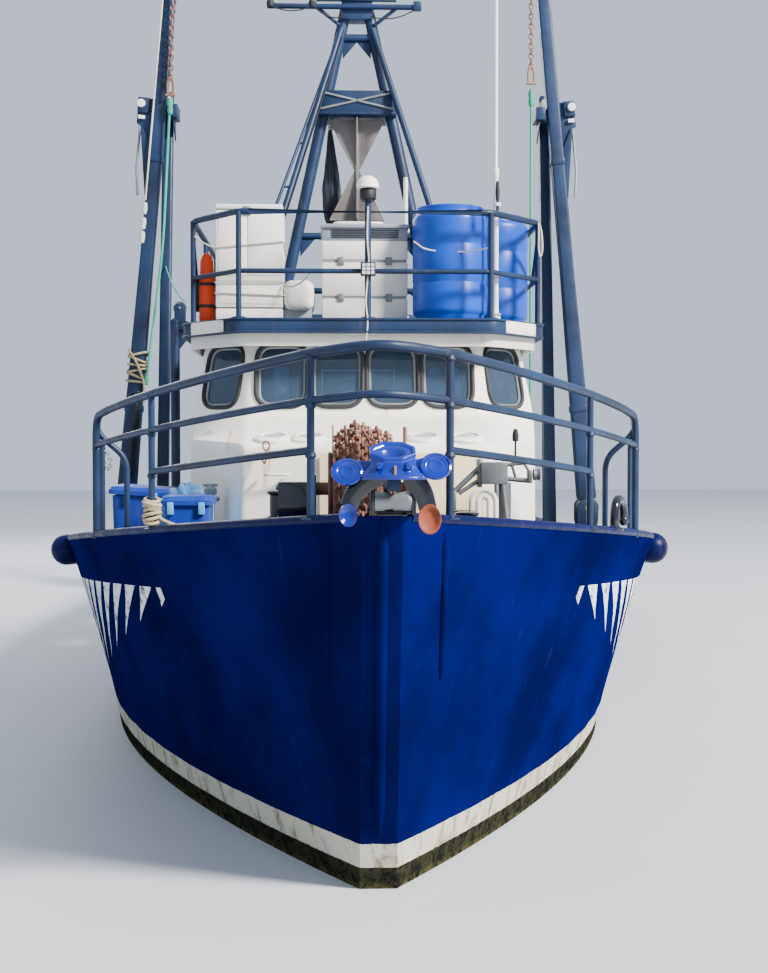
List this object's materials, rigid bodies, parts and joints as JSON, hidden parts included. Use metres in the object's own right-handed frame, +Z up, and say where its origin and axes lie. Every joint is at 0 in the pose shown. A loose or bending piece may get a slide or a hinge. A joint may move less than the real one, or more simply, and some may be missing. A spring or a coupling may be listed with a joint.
{
  "type": "fishing trawler",
  "caption": "Steel inshore fishing trawler with forward wheelhouse, upright side booms, lattice mast, deck winches, net drum and stern gantry.",
  "frame": {"origin": "amidships on the centreline at the waterline", "axes": "+Z up, bow towards -Y, stern towards +Y, port towards +X"},
  "size_m": [5.2942, 16.38, 10.1388],
  "materials": {
    "hull_blue": "gloss, chalked and scuffed",
    "navy_paint": "semi-gloss, worn at edges",
    "white_paint": "satin, rust streaks",
    "white_plastic": "satin, weathered",
    "window_glass": "clear, slightly tinted",
    "black_plastic": "matte",
    "drum_blue": "satin moulded",
    "rescue_orange": "satin",
    "galvanised_steel": "dull galvanised, rust spots",
    "weathered_plate": "matte, weathered",
    "navy_canvas": "woven, faded",
    "anchor_blue": "gloss, worn to rust at the tips",
    "rusty_steel": "rusted",
    "trawl_net": "twine netting",
    "bronze": "polished, dulled",
    "black_antifouling": "matte",
    "plywood": "bare, sun-bleached"
  },
  "bodies": {
    "root": {"hull": "hull_blue", "bulwark_port": "hull_blue", "bulwark_starboard": "hull_blue", "bulwark_stern": "hull_blue", "deckhouse_walls": "white_paint", "window_glass": "window_glass", "wheelhouse_roof": "navy_paint", "number_plate_port": "white_paint", "number_plate_starboard": "white_paint", "helm_console": "white_paint", "helm_seat": "black_plastic", "bow_rail": "navy_paint", "upper_rail": "navy_paint", "deck_locker": "white_plastic", "roof_cabinet": "white_plastic", "water_drum_1": "drum_blue", "water_drum_2": "drum_blue", "life_raft": "white_plastic", "rescue_buoy": "rescue_orange", "camera_dome": "white_plastic", "floodlight": "galvanised_steel", "whip_aerial": "white_plastic", "mast": "navy_paint", "radome": "white_plastic", "day_shape": "weathered_plate", "signal_bag": "navy_canvas", "column_port": "navy_paint", "column_starboard": "navy_paint", "boom_heel_port": "navy_paint", "boom_heel_starboard": "navy_paint", "bow_roller": "galvanised_steel", "anchor": "anchor_blue", "anchor_winch": "galvanised_steel", "bitts_port": "navy_paint", "bitts_starboard": "navy_paint", "line_hauler": "galvanised_steel", "fish_bin_1": "drum_blue", "fish_bin_2": "drum_blue", "winch_frame": "navy_paint", "hatch_coaming": "navy_paint", "net_stand_port": "navy_paint", "net_stand_starboard": "navy_paint", "stern_gantry": "navy_paint", "trawl_door_port": "rusty_steel", "trawl_door_starboard": "rusty_steel", "exhaust_stack": "weathered_plate", "side_post": "navy_paint", "fairlead_port": "navy_paint", "plywood_board": "plywood"},
    "boom_port": {"boom_port": "navy_paint"},
    "boom_starboard": {"boom_starboard": "navy_paint"},
    "wheelhouse_door": {"wheelhouse_door": "white_paint"},
    "hatch_lid": {"hatch_lid": "white_paint"},
    "helm_wheel": {"helm_wheel": "black_plastic"},
    "chain_drum": {"chain_drum": "rusty_steel"},
    "winch_drums": {"winch_drums": "rusty_steel"},
    "net_drum": {"net_drum": "trawl_net"},
    "propeller": {"propeller": "bronze"},
    "rudder": {"rudder": "black_antifouling"}
  },
  "joints": [
    {"name": "boom_port_swing", "type": "hinge", "parent": "root", "child": "boom_port", "pos_m": [2.2, -1.45, 1.8], "axis": [0, 1, 0], "range_deg": [0, 75]},
    {"name": "boom_starboard_swing", "type": "hinge", "parent": "root", "child": "boom_starboard", "pos_m": [-2.2, -1.45, 1.8], "axis": [0, -1, 0], "range_deg": [0, 75]},
    {"name": "door_swing", "type": "hinge", "parent": "root", "child": "wheelhouse_door", "pos_m": [0.342, -1.684, 2.24], "axis": [0, 0, -1], "range_deg": [0, 100]},
    {"name": "hatch_swing", "type": "hinge", "parent": "root", "child": "hatch_lid", "pos_m": [0, 2.278, 1.192], "axis": [1, 0, 0], "range_deg": [0, 100]},
    {"name": "rudder_turn", "type": "hinge", "parent": "root", "child": "rudder", "pos_m": [0, 7.15, -1.1], "axis": [0, 0, 1], "range_deg": [-35, 35]},
    {"name": "helm_turn", "type": "hinge", "parent": "root", "child": "helm_wheel", "pos_m": [0.25, -3.7, 2.08], "axis": [0, 1, 0], "range_deg": [-420, 420]},
    {"name": "chain_drum_spin", "type": "hinge", "parent": "root", "child": "chain_drum", "pos_m": [-0.08, -6.78, 2.15], "axis": [1, 0, 0], "continuous": true},
    {"name": "winch_spin", "type": "hinge", "parent": "root", "child": "winch_drums", "pos_m": [0, 0.8, 1.35], "axis": [1, 0, 0], "continuous": true},
    {"name": "net_drum_spin", "type": "hinge", "parent": "root", "child": "net_drum", "pos_m": [0, 4.9, 1.8], "axis": [1, 0, 0], "continuous": true},
    {"name": "propeller_spin", "type": "hinge", "parent": "root", "child": "propeller", "pos_m": [0, 6.36, -1.25], "axis": [0, 1, 0], "continuous": true}
  ],
  "couplings": [
    {"joint": "helm_turn", "follows": "rudder_turn", "ratio": 12}
  ]
}
